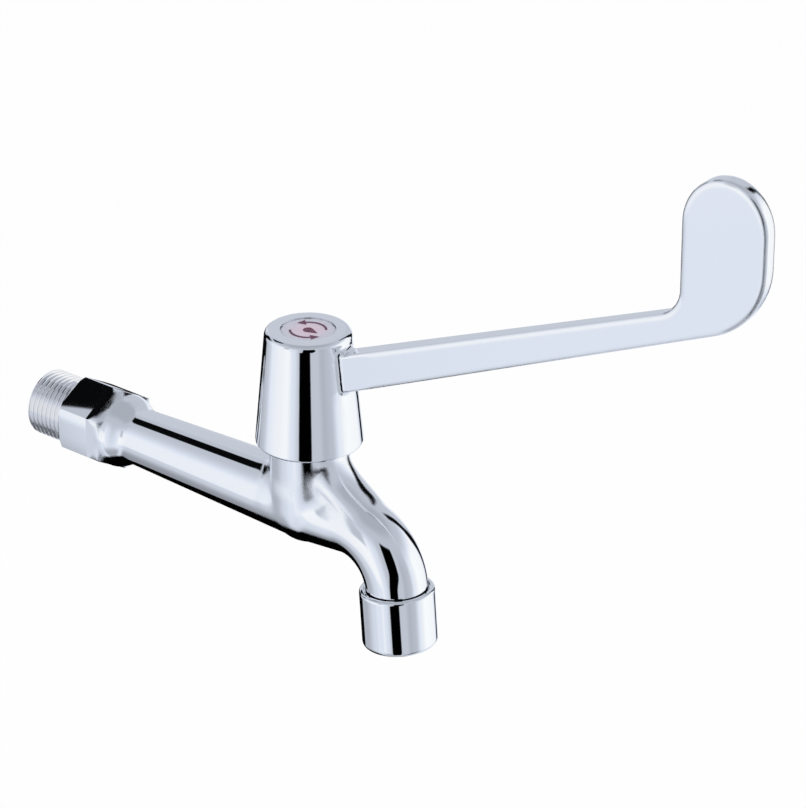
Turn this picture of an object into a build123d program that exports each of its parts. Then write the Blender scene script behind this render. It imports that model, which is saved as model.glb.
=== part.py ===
from build123d import *
import os
from math import atan2, cos, radians, sin, sqrt, tan

# Long lever medical tap, in millimetres.
# The origin lies on the inlet axis, in the plane of the shoulder that meets the wall fitting.
# +X points out of the wall and +Z up. The tap is shut, with its lever a little aside from the spout.

# Inlet
thread_radius = 10.4775
thread_pitch = 1.814
thread_depth = 1.162
thread_crest = 0.34
thread_flank = 27.5
thread_length = 15.7
inlet_bore_radius = 6.5
hexagon_across_flats = 23.0
hexagon_length = 17.0
hexagon_corner_cut = 0.9
collar_radius = 11.6
collar_length = 8.5

# Tube and valve chamber
tube_radius = 8.9
handle_axis_x = 94.3
tube_radius_at_axis = 11.1
gallery_wall = 2.5
gallery_length = 14.0
neck_radius = 12.1
neck_wall = 1.65
neck_top = 24.0
neck_blend_back = 4.5
neck_blend_front = 5.5
chamber_middle_z = 0.8
chamber_step = 1.05
chamber_end_wall = 2.4
seat_z = -2.0
seat_thickness = 2.3
seat_hole_radius = 5.2
channel_overrun = 6.0

# Spout
spout_start = 16.9
spout_drop = 0.6
spout_radius = 9.4
spout_wall = 2.9
spout_bend = 17.0
outlet_lean = 4.3

# Throat that leans from the neck down to the bend, in round level sections
throat_slope = 33.4
throat_height_at_bend = 12.6
throat_neck_round = 12.5
throat_setback = 0.5
throat_top = 20.8
throat_bottom = 2.0
throat_radius_at_top = 8.5
throat_radius_at_bottom = 7.0
throat_narrowing = 1.2
throat_sections = 8

# Nozzle ring and aerator, with depths below the top of the ring
ring_wall = 1.5
ring_height = 18.1
ring_floor = 1.4
ring_floor_width = 1.8
ring_top_round = 1.0
ring_outlet_round = 0.4
ring_bottom_round = 1.6
ring_lip_gap = 0.55
ring_lip_depth = 1.6
spout_thread_height = 0.35
spout_thread_start = 2.4
spout_thread_end = 8.0
gasket_thickness = 1.6
gasket_bore_step = 0.5
cage_wall = 1.2
cage_ledge = 0.9
cage_ledge_height = 1.0
plate_rim = 0.6
diffuser_thickness = 1.4
diffuser_hole_radius = 0.6
diffuser_rings = ((0.72, 12), (0.4, 6))
screen_count = 2
screen_thickness = 0.35
screen_gap = 0.5
screen_hole_radius = 0.42
screen_hole_pitch = 1.25
straightener_thickness = 2.6
straightener_hole_radius = 0.85
straightener_hole_pitch = 2.15

# Headwork
lever_travel = 90.0
bonnet_washer_thickness = 1.5
bonnet_flange_rim = 0.2
bonnet_flange_thickness = 1.6
bonnet_hexagon = 19.0
bonnet_hexagon_height = 5.4
bonnet_collar_wall = 2.25
bonnet_collar_height = 3.5
bonnet_thread_chamfer = 1.0
bonnet_thread_above_shoulder = 1.1
bonnet_thread_relief = 3.0
skirt_gap = 0.6
skirt_wall = 1.5
skirt_above_seat = 0.8
window_width = 9.0
window_margin = 0.2
spindle_radius = 4.5
seal_height = 2.8
seal_round = 0.5
disc_gap = 0.2
disc_thickness = 3.0
disc_hole_inner = 1.9
disc_hole_outer = 5.5
disc_hole_angle = 64.0
disc_key_width = 3.0
disc_key_depth = 0.9
disc_key_below_top = 0.5
tongue_width = 3.0
tongue_height = 1.5
drive_core_step = 0.8
drive_rise = 1.2
wing_gap = 0.3
wing_height = 2.15
wing_angle = 49.0
lug_root = 0.3
friction_washer_thickness = 0.7
oring_groove_depth = 1.1
oring_groove_width = 2.1
oring_corner = 0.42
oring_swell = 1.4
oring_offsets = (4.1, 9.1)
circlip_thickness = 0.8
circlip_rim = 1.8
circlip_groove_depth = 0.55
circlip_opening = 3.0

# Spline, screw and cap
spline_teeth = 20
spline_step = 0.55
spline_depth = 0.45
spline_above_clip = 1.0
socket_play = 0.4
boss_wall = 3.2
screw_thread_radius = 2.5
screw_tip_chamfer = 0.5
screw_hole_play = 0.3
screw_length = 11.0
screw_hole_reserve = 1.5
screw_head_radius = 4.6
screw_head_height = 3.0
screw_head_round = 1.4
screw_cross_width = 1.1
screw_cross_depth = 1.8
screw_head_room = 0.7
handle_web = 2.4
washer_thickness = 1.1
washer_radius = 4.5
washer_split = 0.6
cap_radius = 8.2
cap_thickness = 2.0
cap_below_rim = 0.4
cap_edge_round = 0.2
cap_skirt_radius = 6.3
cap_skirt_wall = 0.6
cap_skirt_depth = 3.0
cap_bead = 0.3
cap_bead_height = 0.8
insert_radius = 7.8
insert_thickness = 0.35
mark_thickness = 0.12
mark_ring_radius = 5.3
mark_line_width = 0.7
mark_sweep = 100.0
mark_overlap = 1.0
arrow_half_width = 1.5
arrow_length = 2.5
drop_radius = 1.5
drop_height = 3.6

# Handle hub
hub_over_neck = 2.6
hub_height = 36.2
hub_gap = 2.0
hub_wall = 2.1
hub_top_radius = 12.85
hub_top_round = 2.0
hub_bottom_round = 0.9
hub_ceiling_gap = 0.3

# Lever and paddle, seen from the side, with distances from the handle axis
lever_aside = 7.0
lever_slope = 21.17
lever_above_hub_bottom = 20.73
lever_depth_at_axis = 11.8
lever_depth_at_paddle = 8.53
lever_width_at_axis = 7.2
lever_edge_round = 1.0
flank_tilt_limit = 25.0
lever_root_blend = 2.0
lever_reach = 150.4
paddle_width = 26.15
paddle_thickness = 5.2
paddle_merge = 6.1
paddle_merge_round = 400.0
paddle_rise = 26.3
paddle_dome = 14.5
paddle_heel_round = 24.0
paddle_throat_round = 9.0

# Clearances, and how far a cut runs past the face that it opens
thread_clearance = 0.05
turning_clearance = 0.05
seat_clearance = 0.02
fit_clearance = 0.1
stop_clearance = 0.5
clip_clearance = 0.1
overcut = 1.0

# Radii inside the tap body, from the neck inwards
gallery_radius = tube_radius_at_axis - gallery_wall
bonnet_thread_radius = neck_radius - neck_wall
chamber_radius = bonnet_thread_radius - chamber_step
skirt_radius = chamber_radius - skirt_gap
skirt_bore_radius = skirt_radius - skirt_wall
disc_radius = skirt_bore_radius - disc_gap
wing_radius = skirt_bore_radius - wing_gap
drive_core_radius = spindle_radius + drive_core_step
bonnet_collar_radius = spindle_radius + bonnet_collar_wall
bonnet_flange_radius = neck_radius - bonnet_flange_rim
oring_groove_radius = spindle_radius - oring_groove_depth
circlip_groove_radius = spindle_radius - circlip_groove_depth
circlip_radius = spindle_radius + circlip_rim
spline_radius = spindle_radius - spline_step
spline_root_radius = spline_radius - spline_depth
screw_hole_radius = screw_thread_radius + screw_hole_play

# Heights of the stack in the skirt, from the seat up
skirt_bottom = seat_z + skirt_above_seat
seal_top = seat_z + seal_height
fixed_disc_top = seal_top + disc_thickness
moving_disc_bottom = fixed_disc_top + seat_clearance
moving_disc_top = moving_disc_bottom + disc_thickness
wing_bottom = moving_disc_top + drive_rise
wing_top = wing_bottom + wing_height
friction_washer_bottom = wing_top + seat_clearance
skirt_shoulder = friction_washer_bottom + friction_washer_thickness + seat_clearance
window_low = fixed_disc_top + window_margin
window_high = wing_bottom - window_margin
bonnet_thread_end = skirt_shoulder + bonnet_thread_above_shoulder
bonnet_thread_start = bonnet_thread_end - bonnet_thread_relief

# Heights of the bonnet above the neck, and of the clip and the spline above the bonnet
bonnet_seat = neck_top + bonnet_washer_thickness
bonnet_flange_top = bonnet_seat + bonnet_flange_thickness
bonnet_hexagon_top = bonnet_flange_top + bonnet_hexagon_height
bonnet_top = bonnet_hexagon_top + bonnet_collar_height
circlip_bottom = bonnet_top + clip_clearance
circlip_top = circlip_bottom + circlip_thickness
spline_start = circlip_top + clip_clearance + spline_above_clip

# The wings and the stops share the circle, and what is left over is the lever's travel.
stop_angle = 180.0 - lever_travel - wing_angle - 2 * stop_clearance
stop_turn = (wing_angle + stop_angle) / 2 + stop_clearance

# Heights in the handle, from its top down
hub_bottom = neck_top - hub_over_neck
hub_top = hub_bottom + hub_height
hub_bottom_radius = neck_radius + hub_gap + hub_wall
cap_top = hub_top - cap_below_rim
cap_bottom = cap_top - cap_thickness
cap_bead_middle = cap_bottom - cap_skirt_depth / 2
screw_head_top = cap_bottom - screw_head_room
washer_top = screw_head_top - screw_head_height
web_top = washer_top - washer_thickness
socket_top = web_top - handle_web
spindle_top = socket_top - socket_play
screw_tip = washer_top - screw_length
hub_ceiling = spline_start + hub_ceiling_gap
boss_radius = spline_radius + turning_clearance + boss_wall
counterbore_radius = cap_skirt_radius + fit_clearance

# Outlet: the bend turns from level to the lean of the nozzle, and the ring hangs square to its end.
spout_start_x = handle_axis_x + spout_start
outlet_bore_radius = spout_radius - spout_wall
bend_turn = 90.0 - outlet_lean
bend_centre_z = -spout_drop - spout_bend
ring_top_x = spout_start_x + spout_bend * sin(radians(bend_turn))
ring_top_z = bend_centre_z + spout_bend * cos(radians(bend_turn))
outlet_direction = (sin(radians(outlet_lean)), 0, -cos(radians(outlet_lean)))
across_outlet = (cos(radians(outlet_lean)), 0, sin(radians(outlet_lean)))
nozzle_plane = Plane((ring_top_x, 0, ring_top_z), x_dir=across_outlet, z_dir=outlet_direction)

# Radii and depths in the nozzle ring, from the spout's thread inwards and from the ring's top down
spout_thread_radius = spout_radius + spout_thread_height
ring_bore_radius = spout_thread_radius + thread_clearance
ring_lip_radius = spout_radius + ring_lip_gap
ring_radius = ring_bore_radius + ring_wall
ring_outlet_radius = ring_bore_radius - ring_floor_width
cage_radius = spout_thread_radius - fit_clearance
cage_bore_radius = cage_radius - cage_wall
plate_radius = cage_bore_radius - turning_clearance
gasket_end = spout_thread_end + gasket_thickness
diffuser_end = gasket_end + diffuser_thickness
cage_end = ring_height - ring_floor
straightener_start = cage_end - straightener_thickness


def section(points, rounds=None):
    """A closed outline in the XZ plane from (x, z) points, with some corners rounded by index."""
    face = make_face(Polyline(*[(x, 0, z) for x, z in points], close=True))
    for index, radius in (rounds or {}).items():
        x, z = points[index]
        corner = face.vertices().sort_by_distance((x, 0, z))[0]
        face = fillet(corner, radius)
    return face


def at_axis(shape, height=0.0, turn=0.0):
    """Put a shape that was drawn around the origin on the handle axis at a height."""
    return shape.moved(Location((handle_axis_x, 0, height), (0, 0, turn)))


def turned(points, rounds=None):
    """A solid turned about the handle axis from (radius, height) points."""
    return at_axis(revolve(section(points, rounds), Axis.Z))


def tube(outer, inner, low, high):
    """A plain ring about the handle axis."""
    return turned([(inner, low), (outer, low), (outer, high), (inner, high)])


def rod(radius, low, high):
    """A plain round bar about the handle axis."""
    return turned([(0, low), (radius, low), (radius, high), (0, high)])


def nozzle_turned(points, rounds=None):
    """A solid turned about the nozzle axis from (radius, depth below the ring's top) points."""
    return nozzle_plane * revolve(section(points, rounds), Axis.Z)


def nozzle_tube(outer, inner, start, end):
    """A plain ring about the nozzle axis, between two depths."""
    return nozzle_turned([(inner, start), (outer, start), (outer, end), (inner, end)])


def nozzle_rod(radius, start, end):
    """A plain round bar on the nozzle axis, between two depths."""
    return nozzle_turned([(0, start), (radius, start), (radius, end), (0, end)])


def level_rod(radius, start, end, height=0.0):
    """A plain round bar along X at a height."""
    bar = Cylinder(radius, end - start, rotation=(0, 90, 0))
    return bar.moved(Location(((start + end) / 2, 0, height)))


def sector(outer, inner, angle, low, high, turn=0.0):
    """A piece of ring about the handle axis, centred on the turn angle and as wide as the angle."""
    reach = 2 * outer
    half = radians(angle / 2)
    corners = ((0, 0), (reach * cos(half), -reach * sin(half)), (reach * cos(half), reach * sin(half)))
    flat = (Circle(outer) - Circle(inner)) & Polygon(*corners, align=None)
    return at_axis(extrude(flat, high - low), low, turn)


def hole_grid(pitch, hole_radius, reach):
    """Centres of round holes in a triangular pattern that stay inside a circle."""
    rows = int(reach / pitch) + 1
    centres = []
    for row in range(-rows, rows + 1):
        y = row * pitch * sqrt(3) / 2
        for column in range(-rows, rows + 1):
            x = (column + 0.5 * (row % 2)) * pitch
            if sqrt(x * x + y * y) + hole_radius <= reach:
                centres.append((x, y))
    return centres


# Tap body


def inlet_thread():
    """Male pipe thread as ridges of the true section and pitch, the first against the shoulder."""
    root = thread_radius - thread_depth
    half_crest = thread_crest / 2
    half_base = half_crest + thread_depth * tan(radians(thread_flank))
    ridges = int((thread_length - half_base) / thread_pitch) + 1
    outline = [(0, 0), (0, thread_radius), (-half_crest, thread_radius), (-half_base, root)]
    for ridge in range(1, ridges):
        crest = -ridge * thread_pitch
        outline += [
            (crest + half_base, root),
            (crest + half_crest, thread_radius),
            (crest - half_crest, thread_radius),
            (crest - half_base, root),
        ]
    outline += [(-thread_length, root), (-thread_length, 0)]
    return revolve(section(outline), Axis.X)


def inlet_hexagon():
    """Spanner hexagon with a flat to each side, its corners cut back at the wall end."""
    inlet_plane = Plane((0, 0, 0), x_dir=(0, 1, 0), z_dir=(1, 0, 0))
    flats = RegularPolygon(hexagon_across_flats / 2, 6, major_radius=False, rotation=30)
    prism = extrude(inlet_plane * flats, hexagon_length)
    corner_radius = hexagon_across_flats / sqrt(3)
    limit_radius = corner_radius + overcut
    limit = section([
        (0, 0),
        (0, corner_radius - hexagon_corner_cut),
        (hexagon_corner_cut + overcut, limit_radius),
        (hexagon_length, limit_radius),
        (hexagon_length, 0),
    ])
    return prism & revolve(limit, Axis.X)


def collar_and_tube():
    """Round collar behind the hexagon that falls in an S to the tube, and the widening tube."""
    collar_start = hexagon_length - overcut
    collar_end = hexagon_length + collar_length
    middle = ((hexagon_length + collar_end) / 2, 0, (collar_radius + tube_radius) / 2)
    taper = (handle_axis_x - collar_end, 0, tube_radius_at_axis - tube_radius)
    shoulder = (hexagon_length, 0, collar_radius)
    foot = (collar_end, 0, tube_radius)
    outline = [
        Line((collar_start, 0, 0), (collar_start, 0, collar_radius)),
        Line((collar_start, 0, collar_radius), shoulder),
        Spline(shoulder, middle, foot, tangents=[(1, 0, 0), taper]),
        Line(foot, (handle_axis_x, 0, tube_radius_at_axis)),
        Line((handle_axis_x, 0, tube_radius_at_axis), (handle_axis_x, 0, 0)),
        Line((handle_axis_x, 0, 0), (collar_start, 0, 0)),
    ]
    return revolve(make_face(outline), Axis.X)


def round_bend(radius):
    """The bend of the spout with the given tube radius."""
    start = Plane((spout_start_x, 0, -spout_drop), x_dir=(0, 1, 0), z_dir=(1, 0, 0))
    return revolve(start * Circle(radius), Axis((spout_start_x, 0, bend_centre_z), (0, 1, 0)), bend_turn)


def same_edges(shape, wanted):
    """The edges of a shape that lie where the wanted edges lie."""
    return [
        edge
        for edge in shape.edges()
        if any((edge @ 0.5 - other @ 0.5).length < fit_clearance for other in wanted)
    ]


def throat_reach(height):
    """X of the throat's crest at a height: straight up the slope, then an arc on to the neck."""
    slope = radians(throat_slope)
    foot_x = handle_axis_x + neck_radius - throat_setback
    corner = throat_height_at_bend + tan(slope) * (spout_start_x - foot_x)
    tangent = throat_neck_round * tan((radians(90) - slope) / 2)
    if height <= corner - tangent * sin(slope):
        return spout_start_x + (throat_height_at_bend - height) / tan(slope)
    above = max(corner + tangent - height, 0)
    return foot_x + throat_neck_round - sqrt(throat_neck_round ** 2 - above ** 2)


def throat():
    """The part of the casting between the neck and the bend, lofted through level circles."""
    circles = []
    for number in range(throat_sections):
        share = number / (throat_sections - 1)
        height = throat_top + share * (throat_bottom - throat_top)
        narrowed = (throat_radius_at_top - throat_radius_at_bottom) * share ** throat_narrowing
        radius = throat_radius_at_top - narrowed
        middle = Plane((throat_reach(height) - radius, 0, height))
        circles.append(middle * Circle(radius))
    return loft(circles)


def spout_end():
    """The threaded end of the spout inside the nozzle ring."""
    plain = nozzle_rod(spout_radius, 0, spout_thread_end)
    return plain + nozzle_rod(spout_thread_radius, spout_thread_start, spout_thread_end)


def body_outside():
    """The casting without its waterway."""
    centre = Plane((handle_axis_x, 0, 0), x_dir=(0, 1, 0), z_dir=(1, 0, 0))
    spout_plane = Plane((spout_start_x, 0, -spout_drop), x_dir=(0, 1, 0), z_dir=(1, 0, 0))
    reach = loft([centre * Circle(tube_radius_at_axis), spout_plane * Circle(spout_radius)])
    run = collar_and_tube() + reach + round_bend(spout_radius)
    chamber = Sphere(neck_radius).moved(Location((handle_axis_x, 0, chamber_middle_z)))
    neck = rod(neck_radius, chamber_middle_z, neck_top) + chamber
    body = run + neck
    seam = new_edges(run, neck, combined=body)
    back = [edge for edge in seam if edge.center().X < handle_axis_x]
    front = [edge for edge in seam if edge.center().X > handle_axis_x]
    body = fillet(back, neck_blend_back)
    body = fillet(same_edges(body, front), neck_blend_front)
    body = body + throat()
    return body + inlet_hexagon() + inlet_thread() + spout_end()


def waterway():
    """Everything that the water and the headwork fill inside the casting."""
    wall_x = handle_axis_x - chamber_radius - chamber_end_wall
    channel_end = handle_axis_x + channel_overrun
    channel = level_rod(gallery_radius, wall_x - gallery_length / 2, channel_end)
    under_seat = Box(2 * handle_axis_x, 4 * gallery_radius, 2 * gallery_radius).moved(
        Location((handle_axis_x, 0, seat_z - seat_thickness - gallery_radius))
    )
    return [
        level_rod(inlet_bore_radius, -thread_length - overcut, wall_x),
        level_rod(gallery_radius, wall_x - gallery_length, wall_x),
        channel & under_seat,
        rod(seat_hole_radius, seat_z - seat_thickness - overcut, seat_z + overcut),
        rod(chamber_radius, seat_z, bonnet_thread_start),
        rod(bonnet_thread_radius, bonnet_thread_start, neck_top + overcut),
        level_rod(outlet_bore_radius, channel_end + chamber_end_wall, spout_start_x, -spout_drop),
        round_bend(outlet_bore_radius),
        nozzle_rod(outlet_bore_radius, 0, spout_thread_end + overcut),
    ]


def tap_body():
    body = body_outside()
    for cavity in waterway():
        body = body - cavity
    return body


# Headwork


def bonnet_hexagon_prism():
    flats = RegularPolygon(bonnet_hexagon / 2, 6, major_radius=False, rotation=30)
    return at_axis(extrude(flats, bonnet_hexagon_height), bonnet_flange_top)


def disc_key(turn, play):
    """The lug that keeps the fixed disc from turning, or with play the notch around it."""
    inner = skirt_bore_radius - disc_key_depth - play
    outer = skirt_bore_radius + lug_root
    low = seal_top - play
    high = fixed_disc_top - disc_key_below_top + play
    lug = Box(outer - inner, disc_key_width + 2 * play, high - low)
    return at_axis(lug.moved(Location(((outer + inner) / 2, 0, (high + low) / 2))), 0, turn)


def headwork_body():
    """Bonnet that screws into the neck, with the skirt that holds the discs."""
    thread = bonnet_thread_radius - thread_clearance
    bore = spindle_radius + turning_clearance
    outside = turned([
        (0, skirt_bottom),
        (skirt_radius, skirt_bottom),
        (skirt_radius, bonnet_thread_end),
        (thread, bonnet_thread_end + bonnet_thread_chamfer),
        (thread, bonnet_seat),
        (bonnet_flange_radius, bonnet_seat),
        (bonnet_flange_radius, bonnet_flange_top),
        (bonnet_collar_radius, bonnet_flange_top),
        (bonnet_collar_radius, bonnet_top),
        (0, bonnet_top),
    ])
    inside = turned([
        (0, skirt_bottom - overcut),
        (skirt_bore_radius, skirt_bottom - overcut),
        (skirt_bore_radius, skirt_shoulder),
        (bore, skirt_shoulder),
        (bore, bonnet_top + overcut),
        (0, bonnet_top + overcut),
    ])
    body = outside + bonnet_hexagon_prism() - inside
    windows = Box(4 * skirt_radius, window_width, window_high - window_low)
    body = body - at_axis(windows, (window_high + window_low) / 2)
    for turn in (0, 180):
        body = body + sector(skirt_bore_radius + lug_root, drive_core_radius + fit_clearance, stop_angle,
                             wing_bottom, wing_top, turn - stop_turn)
        body = body + disc_key(turn + 90, 0.0)
    return body


def bonnet_washer():
    return tube(bonnet_flange_radius, bonnet_thread_radius, neck_top, bonnet_seat)


def spline_outline(play):
    """A serrated circle: one point on each crest and one in each root."""
    points = []
    for corner in range(2 * spline_teeth):
        radius = (spline_root_radius if corner % 2 else spline_radius) + play
        angle = radians(180.0 * corner / spline_teeth)
        points.append((radius * cos(angle), radius * sin(angle)))
    return Polygon(*points, align=None)


def spindle():
    """Spindle with drive tongue, stop wings, seal grooves, clip groove and splined end."""
    core_bottom = moving_disc_top + fit_clearance
    groove_top = circlip_top + clip_clearance
    outline = [
        (0, core_bottom),
        (drive_core_radius, core_bottom),
        (drive_core_radius, wing_top),
        (spindle_radius, wing_top),
    ]
    for offset in oring_offsets:
        low = skirt_shoulder + offset - oring_groove_width / 2
        high = low + oring_groove_width
        outline += [
            (spindle_radius, low),
            (oring_groove_radius, low),
            (oring_groove_radius, high),
            (spindle_radius, high),
        ]
    outline += [
        (spindle_radius, circlip_bottom),
        (circlip_groove_radius, circlip_bottom),
        (circlip_groove_radius, groove_top),
        (spindle_radius, groove_top),
        (spindle_radius, spline_start),
        (0, spline_start),
    ]
    body = turned(outline)
    for turn in (0, 180):
        body = body + sector(wing_radius, spindle_radius, wing_angle, wing_bottom, wing_top, turn)
    tongue_bottom = moving_disc_top - tongue_height
    tongue = Box(2 * drive_core_radius - 2 * fit_clearance, tongue_width, wing_bottom - tongue_bottom)
    spline = extrude(spline_outline(0), spindle_top - spline_start + overcut)
    body = body + at_axis(tongue, (wing_bottom + tongue_bottom) / 2) + at_axis(spline, spline_start - overcut)
    hole_bottom = screw_tip - screw_hole_reserve
    tapped = rod(screw_thread_radius + thread_clearance, hole_bottom, spindle_top + overcut)
    return body - tapped


def spindle_orings():
    """Two rings squeezed between their grooves and the bore."""
    outer = spindle_radius + turning_clearance / 2
    inner = oring_groove_radius + seat_clearance
    thick = outer - inner
    half_height = oring_swell * thick / 2
    corner = oring_corner * thick
    rings = []
    for offset in oring_offsets:
        middle = skirt_shoulder + offset
        low = middle - half_height
        high = middle + half_height
        points = [(inner, low), (outer, low), (outer, high), (inner, high)]
        rings.append(turned(points, {0: corner, 1: corner, 2: corner, 3: corner}))
    return rings


def friction_washer():
    inner = spindle_radius + fit_clearance
    top = friction_washer_bottom + friction_washer_thickness
    return tube(wing_radius, inner, friction_washer_bottom, top)


def spindle_circlip():
    """Open clip in the spindle's groove, just above the top of the bonnet."""
    clip = tube(circlip_radius, circlip_groove_radius + seat_clearance, circlip_bottom, circlip_top)
    opening = Box(2 * circlip_radius, circlip_opening, 4 * circlip_thickness)
    return clip - at_axis(opening.moved(Location((circlip_radius, 0, 0))), circlip_bottom)


def fixed_disc():
    """Ceramic disc with two passages, notched for the keys of the skirt."""
    disc = rod(disc_radius, seal_top, fixed_disc_top)
    for turn in (0, 180):
        disc = disc - sector(disc_hole_outer, disc_hole_inner, disc_hole_angle,
                             seal_top - overcut, fixed_disc_top + overcut, turn)
        disc = disc - disc_key(turn + 90, fit_clearance)
    return disc


def moving_disc():
    """Bow tie shaped disc: its lobes cover the fixed disc's passages when the tap is shut."""
    disc = rod(disc_radius, moving_disc_bottom, moving_disc_top)
    for turn in (90, 270):
        disc = disc - sector(disc_radius + overcut, disc_hole_inner, disc_hole_angle,
                             moving_disc_bottom - overcut, moving_disc_top + overcut, turn)
    slot_length = 2 * drive_core_radius
    slot_width = tongue_width + 2 * turning_clearance
    slot_depth = tongue_height + fit_clearance
    return disc - at_axis(Box(slot_length, slot_width, 2 * slot_depth), moving_disc_top)


def seat_seal():
    outer = skirt_bore_radius - fit_clearance
    points = [(seat_hole_radius, seat_z), (outer, seat_z), (outer, seal_top), (seat_hole_radius, seal_top)]
    return turned(points, {0: seal_round, 1: seal_round})


# Handle


def hub_radius(height):
    """Radius of the hub's outer cone at a height."""
    share = (height - hub_bottom) / hub_height
    return hub_bottom_radius + share * (hub_top_radius - hub_bottom_radius)


def hub_outside():
    points = [(0, hub_bottom), (hub_bottom_radius, hub_bottom), (hub_top_radius, hub_top), (0, hub_top)]
    return turned(points, {1: hub_bottom_round, 2: hub_top_round})


def lever_middle(distance):
    """Height of the lever's middle line at a distance from the handle axis."""
    return hub_bottom + lever_above_hub_bottom + distance * tan(radians(lever_slope))


def lever_half_rise(distance):
    """Half of the lever's upright height at a distance from the handle axis."""
    share = distance / (lever_reach - paddle_width + paddle_merge)
    depth = lever_depth_at_axis + share * (lever_depth_at_paddle - lever_depth_at_axis)
    return depth / (2 * cos(radians(lever_slope)))


def lever_side():
    """The lever and paddle seen from the side: the taper, the paddle's sides and its rounded top."""
    near_edge = lever_reach - paddle_width
    paddle_middle = lever_reach - paddle_width / 2
    widest = lever_middle(paddle_middle) + paddle_rise
    points = [
        (0, lever_middle(0) - lever_half_rise(0)),
        (lever_reach, lever_middle(lever_reach) - lever_half_rise(lever_reach)),
        (lever_reach, widest),
        (near_edge, widest),
        (near_edge, lever_middle(near_edge) + lever_half_rise(near_edge)),
        (0, lever_middle(0) + lever_half_rise(0)),
    ]
    blade = section(points, {1: paddle_heel_round, 4: paddle_throat_round})
    dome_plane = Plane((paddle_middle, 0, widest), x_dir=(1, 0, 0), z_dir=(0, -1, 0))
    return at_axis(blade + dome_plane * Ellipse(paddle_width / 2, paddle_dome))


def lever_plan():
    """The lever and paddle seen from above: a long taper, then the even paddle."""
    half_root = lever_width_at_axis / 2
    half_paddle = paddle_thickness / 2
    merge = lever_reach - paddle_width + paddle_merge
    end = lever_reach + overcut
    plan = Polygon(
        (0, -half_root),
        (merge, -half_paddle),
        (end, -half_paddle),
        (end, half_paddle),
        (merge, half_paddle),
        (0, half_root),
        align=None,
    )
    bends = [corner for corner in plan.vertices() if abs(corner.X - merge) < fit_clearance]
    return at_axis(fillet(bends, paddle_merge_round))


def lever_arm():
    """The lever and paddle with their long edges rounded, turned a little aside from the spout."""
    plan = extrude(lever_plan(), lever_middle(lever_reach) + paddle_rise + paddle_dome)
    arm = extrude(lever_side(), lever_width_at_axis, both=True) & plan
    flanks = [face for face in arm.faces() if abs(face.normal_at().Y) > cos(radians(flank_tilt_limit))]
    flank_edges = [edge for face in flanks for edge in face.edges()]
    rim = [
        edge
        for edge in arm.edges()
        if flank_edges.count(edge) == 1 and edge.center().X > handle_axis_x + fit_clearance
    ]
    arm = fillet(rim, lever_edge_round)
    return arm.rotate(Axis((handle_axis_x, 0, 0), (0, 0, 1)), lever_aside)


def handle_cavity():
    """Inside of the hub: skirt space, pocket round the boss, spline socket and cap seat."""
    below = hub_bottom - overcut
    pocket_low = hub_ceiling - overcut
    space = turned([
        (0, below),
        (hub_radius(below) - hub_wall, below),
        (hub_radius(hub_ceiling) - hub_wall, hub_ceiling),
        (0, hub_ceiling),
    ])
    pocket = turned([
        (boss_radius, pocket_low),
        (hub_radius(pocket_low) - hub_wall, pocket_low),
        (hub_radius(socket_top) - hub_wall, socket_top),
        (boss_radius, socket_top),
    ])
    socket = extrude(spline_outline(turning_clearance), socket_top - pocket_low)
    groove_half_height = cap_bead_height / 2 + fit_clearance
    return [
        space,
        pocket,
        at_axis(socket, pocket_low),
        rod(screw_hole_radius, socket_top - overcut, web_top + overcut),
        rod(counterbore_radius, web_top, cap_bottom + overcut),
        rod(cap_radius + turning_clearance, cap_bottom, hub_top + overcut),
        rod(cap_skirt_radius + cap_bead + turning_clearance,
            cap_bead_middle - groove_half_height, cap_bead_middle + groove_half_height),
    ]


def lever_handle():
    """Hub, lever and paddle in one casting."""
    hub = hub_outside()
    arm = lever_arm()
    handle = hub + arm
    handle = fillet(new_edges(hub, arm, combined=handle), lever_root_blend)
    for cavity in handle_cavity():
        handle = handle - cavity
    return handle


def handle_screw():
    """Pan head screw with a cross recess."""
    body = turned([
        (0, screw_tip),
        (screw_thread_radius - screw_tip_chamfer, screw_tip),
        (screw_thread_radius, screw_tip + screw_tip_chamfer),
        (screw_thread_radius, washer_top),
        (screw_head_radius, washer_top),
        (screw_head_radius, screw_head_top),
        (0, screw_head_top),
    ], {5: screw_head_round})
    for turn in (0, 90):
        cross = Box(screw_head_radius, screw_cross_width, 2 * screw_cross_depth)
        body = body - at_axis(cross, screw_head_top, turn)
    return body


def screw_washer():
    """Split spring washer."""
    washer = tube(washer_radius, screw_thread_radius + fit_clearance, web_top, washer_top)
    split = Box(2 * washer_radius, washer_split, 4 * washer_thickness)
    return washer - at_axis(split.moved(Location((washer_radius, 0, 0))), web_top)


def index_cap():
    """Snap-in cap with a shallow dish for the printed disc."""
    skirt_inner = cap_skirt_radius - cap_skirt_wall
    skirt_low = cap_bottom - cap_skirt_depth
    dish_radius = insert_radius + turning_clearance
    dish_floor = cap_top - insert_thickness
    return turned([
        (0, cap_bottom),
        (skirt_inner, cap_bottom),
        (skirt_inner, skirt_low),
        (cap_skirt_radius, skirt_low),
        (cap_skirt_radius, cap_bead_middle - cap_bead_height / 2),
        (cap_skirt_radius + cap_bead, cap_bead_middle),
        (cap_skirt_radius, cap_bead_middle + cap_bead_height / 2),
        (cap_skirt_radius, cap_bottom),
        (cap_radius, cap_bottom),
        (cap_radius, cap_top),
        (dish_radius, cap_top),
        (dish_radius, dish_floor),
        (0, dish_floor),
    ], {9: cap_edge_round})


def index_insert():
    return rod(insert_radius, cap_top - insert_thickness, cap_top)


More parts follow.
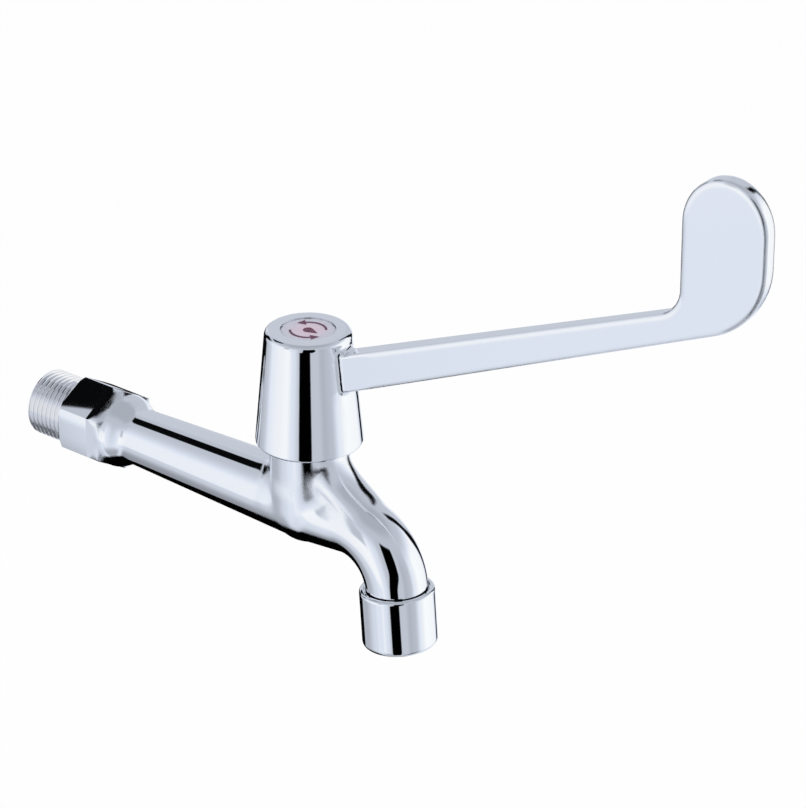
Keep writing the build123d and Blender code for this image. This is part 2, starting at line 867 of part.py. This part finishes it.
def index_mark():
    """A drop in the middle and two turning arrows round it, printed on the disc."""
    inner = mark_ring_radius - mark_line_width / 2
    outer = mark_ring_radius + mark_line_width / 2
    solids = []
    for turn in (90, 270):
        band = sector(outer, inner, mark_sweep, cap_top, cap_top + mark_thickness, turn)
        tip = Polygon((mark_ring_radius - arrow_half_width, 0), (mark_ring_radius + arrow_half_width, 0),
                      (mark_ring_radius, arrow_length), align=None)
        arrow = at_axis(extrude(tip, mark_thickness), cap_top, turn + mark_sweep / 2 - mark_overlap)
        solids += (band + arrow).solids()
    lean = atan2(sqrt(drop_height ** 2 - drop_radius ** 2), drop_radius)
    touch = (drop_radius * sin(lean), drop_radius * cos(lean))
    tail = Polygon((0, drop_height), (-touch[0], touch[1]), (0, 0), touch, align=None)
    solids += at_axis(extrude(Circle(drop_radius) + tail, mark_thickness), cap_top, -90).solids()
    return solids


# Nozzle


def nozzle_ring():
    """Ring with a lip round the spout, the threaded bore and a floor that holds the aerator."""
    return nozzle_turned([
        (ring_lip_radius, 0),
        (ring_radius, 0),
        (ring_radius, ring_height),
        (ring_outlet_radius, ring_height),
        (ring_outlet_radius, cage_end),
        (ring_bore_radius, cage_end),
        (ring_bore_radius, ring_lip_depth),
        (ring_lip_radius, ring_lip_depth),
    ], {1: ring_top_round, 2: ring_bottom_round, 3: ring_outlet_round})


def aerator_gasket():
    inner = outlet_bore_radius + gasket_bore_step
    return nozzle_tube(cage_radius, inner, spout_thread_end, gasket_end)


def aerator_body():
    """Open cage with a ledge inside that separates the diffuser from the screens."""
    ledge_radius = cage_bore_radius - cage_ledge
    ledge_end = diffuser_end + cage_ledge_height
    return nozzle_turned([
        (cage_bore_radius, gasket_end),
        (cage_radius, gasket_end),
        (cage_radius, cage_end),
        (cage_bore_radius, cage_end),
        (cage_bore_radius, ledge_end),
        (ledge_radius, ledge_end),
        (ledge_radius, diffuser_end),
        (cage_bore_radius, diffuser_end),
    ])


def nozzle_plate(start, end, centres, hole_radius):
    """A round plate across the nozzle with round holes through it."""
    plate = Circle(plate_radius)
    holes = [Circle(hole_radius).moved(Location((*centre, 0))) for centre in centres]
    return nozzle_plane * extrude(plate - holes, end - start).moved(Location((0, 0, start)))


def aerator_diffuser():
    centres = []
    for share, count in diffuser_rings:
        for step in range(count):
            angle = radians(360.0 * step / count)
            centres.append((share * cage_bore_radius * cos(angle), share * cage_bore_radius * sin(angle)))
    return nozzle_plate(gasket_end, diffuser_end, centres, diffuser_hole_radius)


def aerator_screens():
    centres = hole_grid(screen_hole_pitch, screen_hole_radius, plate_radius - plate_rim)
    screens = []
    for level in range(screen_count):
        end = straightener_start - screen_gap - level * (screen_thickness + screen_gap)
        screens.append(nozzle_plate(end - screen_thickness, end, centres, screen_hole_radius))
    return screens


def flow_straightener():
    centres = hole_grid(straightener_hole_pitch, straightener_hole_radius, plate_radius - plate_rim)
    return nozzle_plate(straightener_start, cage_end, centres, straightener_hole_radius)


def write(name, shape):
    solids = shape if isinstance(shape, list) else shape.solids()
    whole = solids[0] if len(solids) == 1 else Compound(children=list(solids))
    export_step(whole, f"parts/{name}.step")
    print(name, len(solids), "solids", round(sum(solid.volume for solid in solids), 1), "mm3")


os.makedirs("parts", exist_ok=True)
write("tap_body", tap_body())
write("headwork_body", headwork_body())
write("bonnet_washer", bonnet_washer())
write("spindle", spindle())
write("spindle_orings", spindle_orings())
write("friction_washer", friction_washer())
write("spindle_circlip", spindle_circlip())
write("fixed_disc", fixed_disc())
write("moving_disc", moving_disc())
write("seat_seal", seat_seal())
write("lever_handle", lever_handle())
write("handle_screw", handle_screw())
write("screw_washer", screw_washer())
write("index_cap", index_cap())
write("index_insert", index_insert())
write("index_mark", index_mark())
write("nozzle_ring", nozzle_ring())
write("aerator_gasket", aerator_gasket())
write("aerator_body", aerator_body())
write("aerator_diffuser", aerator_diffuser())
write("aerator_screens", aerator_screens())
write("flow_straightener", flow_straightener())
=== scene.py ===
from math import degrees

import bpy
from mathutils import Matrix, Vector

# Looks of the long lever medical tap. Everything is in metres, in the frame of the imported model:
# +X points out of the wall along the tube, +Z up, and the handle turns about an upright axis.

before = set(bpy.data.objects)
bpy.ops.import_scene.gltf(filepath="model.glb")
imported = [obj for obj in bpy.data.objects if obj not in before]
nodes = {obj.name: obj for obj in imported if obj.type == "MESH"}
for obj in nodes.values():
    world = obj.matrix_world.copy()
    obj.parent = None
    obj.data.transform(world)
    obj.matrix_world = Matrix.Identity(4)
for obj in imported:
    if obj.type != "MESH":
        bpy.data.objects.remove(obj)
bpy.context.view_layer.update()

# Places on the object

shoulder_x = 0.0
handle_axis_x = 0.0943
neck_foot = (handle_axis_x + 0.006, 0.0, 0.0)
mark_middle = (handle_axis_x, 0.0, 0.0577)

# The bare waterway is what lies inside this radius, short of the neck
waterway_limit_radius = 0.0068
waterway_end_x = 0.080

# The flats of the hexagon are crowned over its first 12 mm, falling away along and across
crown_middle_x = 0.006
crown_end_x = 0.0117
crown_fall_along = -3.0
crown_fall_across = -9.0

# Edges melt together from the hexagon's far end over the collar, and fade out along the tube
melt_start = (0.0125, 0.0145)
melt_fade = (0.022, 0.034)
melt_radius = 0.0035

# They melt around the neck's foot too, but not on the underside of the tube
neck_melt_fade = (0.018, 0.030)
neck_melt_radius = 0.006
underside_height = (-0.006, -0.002)

# The lever's edges are soft from its root outwards
lever_root_reach = (0.019, 0.026)
lever_softness = 0.0022


# Camera, at the photograph's viewing angle

camera_place = Vector((0.76834, -0.75141, 0.52227))
camera_right = Vector((0.762883, 0.646535, -0.001386))
camera_up = Vector((-0.281091, 0.333603, 0.899832))
camera_back = Vector((0.582235, -0.686077, 0.436235))
camera_lens_mm = 169.73
camera_sensor_mm = 36.0


def make_camera():
    data = bpy.data.cameras.new("camera")
    data.sensor_fit = "HORIZONTAL"
    data.sensor_width = camera_sensor_mm
    data.lens = camera_lens_mm
    data.clip_start = 0.01
    data.clip_end = 20.0
    camera = bpy.data.objects.new("camera", data)
    columns = Matrix((camera_right, camera_up, camera_back)).transposed()
    camera.matrix_world = Matrix.Translation(camera_place) @ columns.to_4x4()
    bpy.context.scene.collection.objects.link(camera)
    bpy.context.scene.camera = camera


# Node helpers


class Graph:
    """A node tree, with short calls for the nodes that the materials and the world share."""

    def __init__(self, tree):
        self.tree = tree
        tree.nodes.clear()

    def add(self, kind, **settings):
        node = self.tree.nodes.new(kind)
        for name, value in settings.items():
            setattr(node, name, value)
        return node

    def link(self, source, target):
        self.tree.links.new(source, target)

    def feed(self, socket, value):
        """Link an output to a socket, or set the socket to a plain value."""
        if isinstance(value, bpy.types.NodeSocket):
            self.link(value, socket)
        else:
            socket.default_value = value

    def math(self, operation, first, second=0.0):
        node = self.add("ShaderNodeMath", operation=operation)
        self.feed(node.inputs[0], first)
        self.feed(node.inputs[1], second)
        return node.outputs[0]

    def length(self, first, second):
        """Length of the vector with these two parts."""
        squares = [self.math("MULTIPLY", part, part) for part in (first, second)]
        return self.math("SQRT", self.math("ADD", *squares))

    def step(self, value, low, high, start=0.0, end=1.0):
        """A smooth change from start to end as the value goes from low to high."""
        node = self.add("ShaderNodeMapRange", interpolation_type="SMOOTHSTEP")
        for socket, item in zip(node.inputs, (value, low, high, start, end)):
            self.feed(socket, item)
        return node.outputs[0]

    def band(self, value, low, high, soft):
        """One between low and high, zero outside, with soft edges."""
        rise = self.step(value, low - soft, low + soft)
        fall = self.step(value, high - soft, high + soft, 1.0, 0.0)
        return self.math("MULTIPLY", rise, fall)

    def blend(self, factor, first, second):
        """A number between first and second."""
        node = self.add("ShaderNodeMix", data_type="FLOAT")
        for socket, item in zip(node.inputs[:1] + node.inputs[2:4], (factor, first, second)):
            self.feed(socket, item)
        return node.outputs[0]

    def tint(self, factor, first, second):
        """A colour between first and second."""
        node = self.add("ShaderNodeMix", data_type="RGBA")
        self.feed(node.inputs[0], factor)
        for socket, item in ((node.inputs[6], first), (node.inputs[7], second)):
            self.feed(socket, item if isinstance(item, bpy.types.NodeSocket) else (*item, 1.0))
        return node.outputs[2]

    def place(self):
        """The point on the object, in metres, as a vector and as its three numbers."""
        coordinates = self.add("ShaderNodeTexCoord").outputs["Object"]
        split = self.add("ShaderNodeSeparateXYZ")
        self.link(coordinates, split.inputs[0])
        return coordinates, split.outputs

    def distance(self, coordinates, point):
        """How far the point on the object is from a fixed one."""
        node = self.add("ShaderNodeVectorMath", operation="DISTANCE")
        self.link(coordinates, node.inputs[0])
        node.inputs[1].default_value = point
        return node.outputs["Value"]

    def noise(self, coordinates, scale, detail=2.0, stretch=(1.0, 1.0, 1.0)):
        mapping = self.add("ShaderNodeMapping")
        mapping.inputs["Scale"].default_value = stretch
        self.link(coordinates, mapping.inputs["Vector"])
        texture = self.add("ShaderNodeTexNoise")
        self.link(mapping.outputs[0], texture.inputs["Vector"])
        texture.inputs["Scale"].default_value = scale
        texture.inputs["Detail"].default_value = detail
        return texture.outputs["Fac"]

    def rounded(self, radius, samples):
        """The surface's normal, rounded over its edges as far as the radius."""
        node = self.add("ShaderNodeBevel", samples=samples)
        self.link(radius, node.inputs["Radius"])
        return node.outputs[0]

    def bump(self, height, strength, distance, normal=None):
        """A normal tilted by a height, over another normal when one is given."""
        node = self.add("ShaderNodeBump")
        self.link(height, node.inputs["Height"])
        self.feed(node.inputs["Strength"], strength)
        node.inputs["Distance"].default_value = distance
        if normal is not None:
            self.link(normal, node.inputs["Normal"])
        return node.outputs[0]


def surface(name, color, metallic=0.0, roughness=0.5, coat=0.0):
    """A new material with one Principled shader, as (material, graph, shader)."""
    material = bpy.data.materials.new(name)
    material.use_nodes = True
    graph = Graph(material.node_tree)
    shader = graph.add("ShaderNodeBsdfPrincipled")
    output = graph.add("ShaderNodeOutputMaterial")
    graph.link(shader.outputs[0], output.inputs["Surface"])
    shader.inputs["Base Color"].default_value = (*color, 1.0)
    shader.inputs["Metallic"].default_value = metallic
    shader.inputs["Roughness"].default_value = roughness
    shader.inputs["Coat Weight"].default_value = coat
    return material, graph, shader


def dress(node, material):
    """Give a CAD node the material in every slot."""
    data = nodes[node].data
    if not data.materials:
        data.materials.append(material)
    for index in range(len(data.materials)):
        data.materials[index] = material


# Materials

chrome_color = (0.93, 0.94, 0.96)
satin_color = (0.88, 0.88, 0.89)
brass_color = (0.72, 0.50, 0.22)
mirror_roughness = (0.03, 0.06)
satin_roughness = (0.08, 0.14)


def wiped(graph, coordinates):
    """Roughness of polished plate with faint wipe marks."""
    return graph.step(graph.noise(coordinates, 70.0, 3.0), 0.35, 0.75, *mirror_roughness)


def buffed(graph, coordinates, normal=None):
    """Normal with the least waviness of a buffed casting."""
    return graph.bump(graph.noise(coordinates, 55.0, 1.0), 0.12, 0.00008, normal)


def ring_chrome():
    """Polished chrome plate."""
    material, graph, shader = surface("ring_chrome", chrome_color, 1.0, mirror_roughness[0])
    coordinates, _ = graph.place()
    graph.link(wiped(graph, coordinates), shader.inputs["Roughness"])
    graph.link(buffed(graph, coordinates), shader.inputs["Normal"])
    return material


def body_chrome():
    """Chrome on the outside, satin plate on the thread, and bare brass in the waterway."""
    material, graph, shader = surface("body_chrome", chrome_color, 1.0, mirror_roughness[0])
    coordinates, (x, y, z) = graph.place()
    radius = graph.length(y, z)
    thread = graph.step(x, shoulder_x - 0.0002, shoulder_x - 0.0001, 1.0, 0.0)
    limit = waterway_limit_radius
    in_bore = graph.step(radius, limit - 0.0001, limit + 0.0001, 1.0, 0.0)
    before_neck = graph.step(x, waterway_end_x, waterway_end_x + 0.002, 1.0, 0.0)
    inside = graph.math("MULTIPLY", in_bore, before_neck)
    plated = graph.tint(thread, chrome_color, satin_color)
    graph.link(graph.tint(inside, plated, brass_color), shader.inputs["Base Color"])
    satin = graph.step(graph.noise(coordinates, 900.0, 2.0), *grain_range, *satin_roughness)
    rough = graph.blend(graph.math("MAXIMUM", thread, inside), wiped(graph, coordinates), satin)
    graph.link(rough, shader.inputs["Roughness"])

    # The casting is polished soft where the tube, the neck and the spout meet, and at the collar
    from_foot = graph.distance(coordinates, neck_foot)
    near_neck = graph.step(from_foot, *neck_melt_fade, neck_melt_radius, 0.0)
    near_neck = graph.math("MULTIPLY", near_neck, graph.step(z, *underside_height))
    near_collar = graph.step(x, *melt_fade, melt_radius, 0.0)
    near_collar = graph.math("MULTIPLY", near_collar, graph.step(x, *melt_start))
    softened = graph.rounded(graph.math("MAXIMUM", near_neck, near_collar), 16)

    # The hexagon's flats are crowned by the polishing wheel
    along = graph.math("ABSOLUTE", graph.math("SUBTRACT", x, crown_middle_x))
    along = graph.math("MULTIPLY", graph.math("POWER", along, 2.0), crown_fall_along)
    across = graph.math("MULTIPLY", graph.math("MULTIPLY", radius, radius), crown_fall_across)
    past_shoulder = graph.step(x, shoulder_x, shoulder_x + 0.0003)
    before_end = graph.step(x, crown_end_x, crown_end_x + 0.0003, 1.0, 0.0)
    on_crown = graph.math("MULTIPLY", past_shoulder, before_end)
    waved = buffed(graph, coordinates, softened)
    crowned = graph.bump(graph.math("ADD", along, across), on_crown, 1.0, waved)
    graph.link(crowned, shader.inputs["Normal"])
    return material


def lever_chrome():
    """Chrome whose arm and paddle are buffed soft along their edges; the hub's edges are crisper."""
    material, graph, shader = surface("handle_chrome", chrome_color, 1.0, mirror_roughness[0])
    coordinates, (x, y, _) = graph.place()
    reach = graph.length(graph.math("SUBTRACT", x, handle_axis_x), y)
    softened = graph.rounded(graph.step(reach, *lever_root_reach, 0.0, lever_softness), 12)
    graph.link(wiped(graph, coordinates), shader.inputs["Roughness"])
    graph.link(buffed(graph, coordinates, softened), shader.inputs["Normal"])
    return material


def metallised_cap():
    material, graph, shader = surface("cap_plastic", (0.78, 0.79, 0.82), 1.0, 0.16)
    coordinates, _ = graph.place()
    grain = graph.noise(coordinates, 500.0)
    graph.link(graph.step(grain, *grain_range, 0.13, 0.22), shader.inputs["Roughness"])
    return material


def insert_film():
    """Silvery film with a pale pink middle, a little uneven in its print, under a clear gloss."""
    material, graph, shader = surface("insert_film", (0.66, 0.63, 0.72), 0.0, 0.32, coat=0.4)
    coordinates, _ = graph.place()
    speckle = graph.noise(coordinates, 1600.0, 3.0)
    unevenness = graph.step(speckle, 0.35, 0.65)
    silver = graph.tint(unevenness, (0.50, 0.49, 0.57), (0.55, 0.54, 0.62))
    pink = graph.tint(unevenness, (0.60, 0.46, 0.55), (0.65, 0.52, 0.60))
    outward = graph.step(graph.distance(coordinates, mark_middle), 0.0025, 0.0065)
    graph.link(graph.tint(outward, pink, silver), shader.inputs["Base Color"])
    graph.link(graph.bump(speckle, 0.1, 0.00002), shader.inputs["Normal"])
    return material


no_stretch = (1.0, 1.0, 1.0)
turned = (1.0, 1.0, 14.0)
grain_range = (0.3, 0.7)
grain_strength = 0.3


def grained(name, color, shade, roughness, scale=400.0, metallic=0.0, stretch=no_stretch,
            depth=0.00003):
    """A plain material with fine grain in its colour, roughness and relief."""
    material, graph, shader = surface(name, color, metallic, roughness)
    coordinates, _ = graph.place()
    grain = graph.noise(coordinates, scale, 3.0, stretch)
    rough = graph.step(grain, *grain_range, roughness * 0.85, roughness * 1.15)
    mottled = graph.tint(graph.step(grain, *grain_range), shade, color)
    graph.link(mottled, shader.inputs["Base Color"])
    graph.link(rough, shader.inputs["Roughness"])
    graph.link(graph.bump(grain, grain_strength, depth), shader.inputs["Normal"])
    return material


def metal(name, colors, roughness, scale, stretch=no_stretch):
    """Bare metal with machining grain."""
    return grained(name, *colors, roughness, scale, 1.0, stretch)


steel = ((0.62, 0.63, 0.65), (0.52, 0.53, 0.55))
brass = (brass_color, (0.62, 0.42, 0.17))
ceramic = ((0.88, 0.87, 0.83), (0.84, 0.83, 0.79))
rubber = ((0.02, 0.02, 0.02), (0.03, 0.03, 0.03))


def dress_all():
    dress("tap_body", body_chrome())
    dress("lever_handle", lever_chrome())
    dress("nozzle_ring", ring_chrome())
    dress("index_cap", metallised_cap())
    dress("index_insert", insert_film())
    dress("index_mark", grained("mark_ink", (0.10, 0.025, 0.06), (0.15, 0.04, 0.08), 0.45, 1800.0))
    dress("headwork_body", metal("bonnet_brass", brass, 0.28, 300.0, turned))
    dress("spindle", metal("spindle_brass", brass, 0.24, 300.0, turned))
    dress("bonnet_washer", grained("fibre", (0.36, 0.09, 0.05), (0.27, 0.06, 0.04), 0.75, 900.0))
    dress("friction_washer", grained("slip_plastic", (0.80, 0.80, 0.76), (0.74, 0.74, 0.70), 0.40))
    dress("spindle_circlip", metal("clip_steel", steel, 0.30, 500.0))
    dress("handle_screw", metal("screw_steel", steel, 0.26, 400.0, turned))
    dress("screw_washer", metal("washer_steel", steel, 0.28, 500.0))
    dress("aerator_screens", metal("screen_steel", steel, 0.32, 700.0))
    for node, slot in (("moving_disc", "moving_ceramic"), ("fixed_disc", "fixed_ceramic")):
        dress(node, grained(slot, *ceramic, 0.16, 300.0, depth=0.000005))
    rubbers = {"spindle_orings": "oring_rubber", "seat_seal": "seal_rubber",
               "aerator_gasket": "gasket_rubber"}
    for node, slot in rubbers.items():
        dress(node, grained(slot, *rubber, 0.55, 700.0))
    plastics = {
        "aerator_body": ("cage_plastic", (0.62, 0.63, 0.65), (0.56, 0.57, 0.59)),
        "aerator_diffuser": ("diffuser_plastic", (0.76, 0.77, 0.78), (0.70, 0.71, 0.72)),
        "flow_straightener": ("straightener_plastic", (0.50, 0.52, 0.54), (0.44, 0.46, 0.48)),
    }
    for node, (slot, color, shade) in plastics.items():
        dress(node, grained(slot, color, shade, 0.42))


# Studio. Bearings and heights are in degrees: bearing 0 is +X, 90 is +Y, and height 0 is level.
# A lightness is the level that the picture shows, from 0 to 1. Raised to the power 2.2, it is the light.

display_power = 2.2
studio_gain = 1.02
cool_white = (0.94, 1.0, 1.12)
bright_white = (0.985, 1.0, 1.01)
gap_lightness = 0.03
front_gap_lightness = 0.01
half_turn = 180.0
whole_turn = 360.0

# Bearing and lightness around the walls
wall_stops = (
    (-180, 0.72), (-164, 0.80), (-146, 0.92), (-120, 0.95), (-100, 0.97), (-84, 0.88), (-68, 0.75),
    (-28, 0.77), (-15, 0.71), (0, 0.74), (20, 0.92), (40, 0.99), (78, 0.97), (102, 0.76), (113, 0.92),
    (140, 0.95), (165, 0.78), (180, 0.72),
)

# Heights over which the walls fade into the lightness of the ceiling, and then into a greyer middle
ceiling_steps = ((12.0, 46.0, 0.75), (48.0, 68.0, 0.68))

# Dull to the left, lighter under the lever, grey in front, dark to the right of the spout
ground_start = 0.57
ground_steps = (
    (-140.0, -118.0, 0.85), (-108.0, -98.0, 0.65), (-75.0, -55.0, 0.74), (-20.0, -8.0, 0.42),
    (12.0, 30.0, 0.86),
)
ground_fade = (-50.0, -28.0)

# The skirt under the left softbox gets lighter towards the front gap
skirt_start = 0.70
skirt_steps = ((-162.0, -125.0, 0.85), (-122.0, -112.0, 0.895))


def fading(graph, value, level, rows):
    """The level, after fading in turn into each row's lightness between its two values."""
    for low, high, lightness in rows:
        level = graph.blend(graph.step(value, low, high), level, lightness)
    return level


def wall_lightness(graph, turn):
    """Lightness of the walls by bearing."""
    walls = graph.add("ShaderNodeValToRGB")
    walls.color_ramp.interpolation = "EASE"
    ramp = walls.color_ramp.elements
    while len(ramp) < len(wall_stops):
        ramp.new(0.5)
    for element, (bearing, lightness) in zip(ramp, wall_stops):
        element.position = (bearing + half_turn) / whole_turn
        element.color = (lightness, lightness, lightness, 1.0)
    share = graph.math("DIVIDE", graph.math("ADD", turn, half_turn), whole_turn)
    graph.link(share, walls.inputs[0])
    return walls.outputs[0]


def tent_lightness(graph, turn, height):
    """Lightness of the tent by bearing and height: walls, ceiling, ground, and the dark gaps."""

    def edge(low, high, below, above):
        """The bearing of a slanting edge: one below the low height, another above the high one."""
        return graph.blend(graph.step(height, low, high), below, above)

    def between(bearing, first, last, soft):
        """One where the bearing is between two edges, with soft sides."""
        past_first = graph.math("SUBTRACT", bearing, first)
        before_last = graph.math("SUBTRACT", last, bearing)
        return graph.step(graph.math("MINIMUM", past_first, before_last), -soft, soft)

    def patch(level, share, window, tiers, lightness):
        """Blend a lightness into the level inside a window and between two heights."""
        weight = graph.math("MULTIPLY", window, graph.band(height, *tiers))
        return graph.blend(graph.math("MULTIPLY", weight, share), level, lightness)

    level = fading(graph, height, wall_lightness(graph, turn), ceiling_steps)

    # The wall on the far right is white low down and grey above
    level = patch(level, 1.0, between(turn, 102.0, 131.0, 3.0), (3.0, 60.0, 3.0), 0.765)
    level = patch(level, 1.0, between(turn, 127.0, 150.0, 3.0), (-15.0, 60.0, 3.0), 0.785)

    # A dull strip beside the left softbox, and its cooler skirt
    level = patch(level, 1.0, between(turn, -112.0, -97.0, 3.0), (7.0, 30.0, 3.0), 0.75)
    skirt = fading(graph, turn, skirt_start, skirt_steps)
    level = patch(level, 1.0, between(turn, -175.0, -96.0, 4.0), (-60.0, -21.0, 2.5), skirt)

    ground = fading(graph, turn, ground_start, ground_steps)
    level = graph.blend(graph.step(height, *ground_fade, 1.0, 0.0), level, ground)

    # Dark gaps between the walls: in front, at the side, and two at the back
    front = between(turn, edge(-20.0, 5.0, -71.0, -62.0), edge(-15.0, 8.0, -44.0, -32.0), 1.5)
    level = patch(level, 0.98, front, (-60.0, 38.0, 2.5), front_gap_lightness)
    side = between(turn, edge(-22.0, 14.0, 94.0, 80.0), edge(-22.0, 14.0, 106.0, 92.0), 2.0)
    level = patch(level, 0.95, side, (-33.0, 44.0, 4.0), gap_lightness)
    around = graph.math("MODULO", graph.math("ADD", turn, whole_turn), whole_turn)
    back_top = between(around, 167.0, 195.0, 1.5)
    level = patch(level, 0.95, back_top, (38.5, 55.5, 1.0), gap_lightness)
    back_left = edge(-22.0, 10.0, 131.0, 170.0)
    back_right = edge(0.0, 18.0, 179.0, 195.0)
    back_low = between(around, back_left, back_right, 2.0)
    return patch(level, 0.95, back_low, (-44.0, 27.0, 1.5), gap_lightness)


def studio_light():
    """A soft-box tent for the chrome to mirror: white walls, a grey ceiling and dark gaps."""
    world = bpy.data.worlds.new("studio")
    bpy.context.scene.world = world
    world.use_nodes = True
    graph = Graph(world.node_tree)
    split = graph.add("ShaderNodeSeparateXYZ")
    graph.link(graph.add("ShaderNodeTexCoord").outputs["Generated"], split.inputs[0])
    x, y, z = split.outputs
    turn = graph.math("MULTIPLY", graph.math("ARCTAN2", y, x), degrees(1.0))
    height = graph.math("MULTIPLY", graph.math("ARCSINE", z), degrees(1.0))
    level = tent_lightness(graph, turn, height)

    def lit(color, strength=1.0):
        node = graph.add("ShaderNodeBackground")
        graph.feed(node.inputs["Color"], color)
        node.inputs["Strength"].default_value = strength
        return node.outputs[0]

    def either(factor, no, yes):
        node = graph.add("ShaderNodeMixShader")
        for socket, source in zip(node.inputs, (factor, no, yes)):
            graph.link(source, socket)
        return node.outputs[0]

    cool = graph.tint(graph.step(level, 0.88, 0.98), cool_white, bright_white)
    tent_color = graph.add("ShaderNodeVectorMath", operation="SCALE")
    graph.link(cool, tent_color.inputs[0])
    raised = graph.math("MULTIPLY", level, studio_gain)
    graph.link(graph.math("POWER", raised, display_power), tent_color.inputs["Scale"])

    # The chrome mirrors the tent, matt surfaces get a soft even light, and the camera sees white
    rays = graph.add("ShaderNodeLightPath").outputs
    soft = lit((0.97, 0.98, 1.0, 1.0), 0.75)
    plain = lit((1.0, 1.0, 1.0, 1.0))
    diffuse = either(rays["Is Diffuse Ray"], lit(tent_color.outputs[0]), soft)
    output = graph.add("ShaderNodeOutputWorld")
    graph.link(either(rays["Is Camera Ray"], diffuse, plain), output.inputs["Surface"])


def sheet(name, corners, height, material):
    """A flat level sheet for the studio."""
    data = bpy.data.meshes.new(name)
    data.from_pydata([(x, y, height) for x, y in corners], [], [tuple(range(len(corners)))])
    data.materials.append(material)
    level_sheet = bpy.data.objects.new(name, data)
    bpy.context.scene.collection.objects.link(level_sheet)
    return level_sheet


board_height = -0.25
board_lightness = 0.03
board_unevenness = (0.97, 1.03)

# Corners of the black board, from under the tap's origin: how far from the camera and to its left
board_corners = ((-0.02, -0.12), (0.45, -0.12), (0.45, 0.142), (-0.02, 0.142), (-0.10, 0.075),
                 (-0.10, 0.03), (-0.02, -0.04))
board_ahead = Vector((-0.643, 0.766))
board_left = Vector((-0.766, -0.643))


def black_board():
    """A black board under the tube, along the camera's view, that only polished metal shows."""
    material = bpy.data.materials.new("black_board")
    material.use_nodes = True
    graph = Graph(material.node_tree)
    coordinates, _ = graph.place()
    shade = graph.add("ShaderNodeVectorMath", operation="SCALE")
    glow_level = (board_lightness * studio_gain) ** display_power
    shade.inputs[0].default_value = tuple(part * glow_level for part in cool_white)
    uneven = graph.step(graph.noise(coordinates, 6.0), 0.3, 0.7, *board_unevenness)
    graph.link(uneven, shade.inputs["Scale"])
    glow = graph.add("ShaderNodeEmission")
    graph.link(shade.outputs[0], glow.inputs["Color"])
    output = graph.add("ShaderNodeOutputMaterial")
    graph.link(glow.outputs[0], output.inputs["Surface"])

    corners = [tuple(board_ahead * far + board_left * aside) for far, aside in board_corners]
    card = sheet("black_board", corners, board_height, material)
    card.visible_camera = False
    card.visible_diffuse = False
    card.visible_shadow = False


def softbox():
    """One large soft lamp overhead, for matt surfaces and the floor. The chrome doesn't show it."""
    data = bpy.data.lights.new("softbox", "AREA")
    data.shape = "DISK"
    data.size = 1.2
    data.energy = 6.0
    lamp = bpy.data.objects.new("softbox", data)
    lamp.location = (0.15, -0.25, 1.3)
    aim = Vector((0.12, 0.0, 0.0))
    lamp.rotation_euler = (aim - lamp.location).to_track_quat("-Z", "Y").to_euler()
    lamp.visible_glossy = False
    lamp.visible_camera = False
    bpy.context.scene.collection.objects.link(lamp)


floor_height = -0.30
floor_half_width = 6.0
floor_white_share = 0.96


def floor():
    """Pale floor under the tap, white to the camera but for the object's faint shadow."""
    material, graph, shader = surface("floor", (0.9, 0.9, 0.9), 0.0, 0.9)
    glow = graph.add("ShaderNodeEmission")
    glow.inputs["Color"].default_value = (1.0, 1.0, 1.0, 1.0)
    rays = graph.add("ShaderNodeLightPath")
    share = graph.math("MULTIPLY", rays.outputs["Is Camera Ray"], floor_white_share)
    mix = graph.add("ShaderNodeMixShader")
    graph.link(share, mix.inputs[0])
    graph.link(shader.outputs[0], mix.inputs[1])
    graph.link(glow.outputs[0], mix.inputs[2])
    output = next(node for node in material.node_tree.nodes if node.type == "OUTPUT_MATERIAL")
    graph.link(mix.outputs[0], output.inputs["Surface"])

    half = floor_half_width
    corners = [(-half, -half), (half, -half), (half, half), (-half, half)]
    board = sheet("floor", corners, floor_height, material)
    board.visible_glossy = False


make_camera()
dress_all()
studio_light()
softbox()
black_board()
floor()
bpy.context.scene.view_settings.view_transform = "Standard"
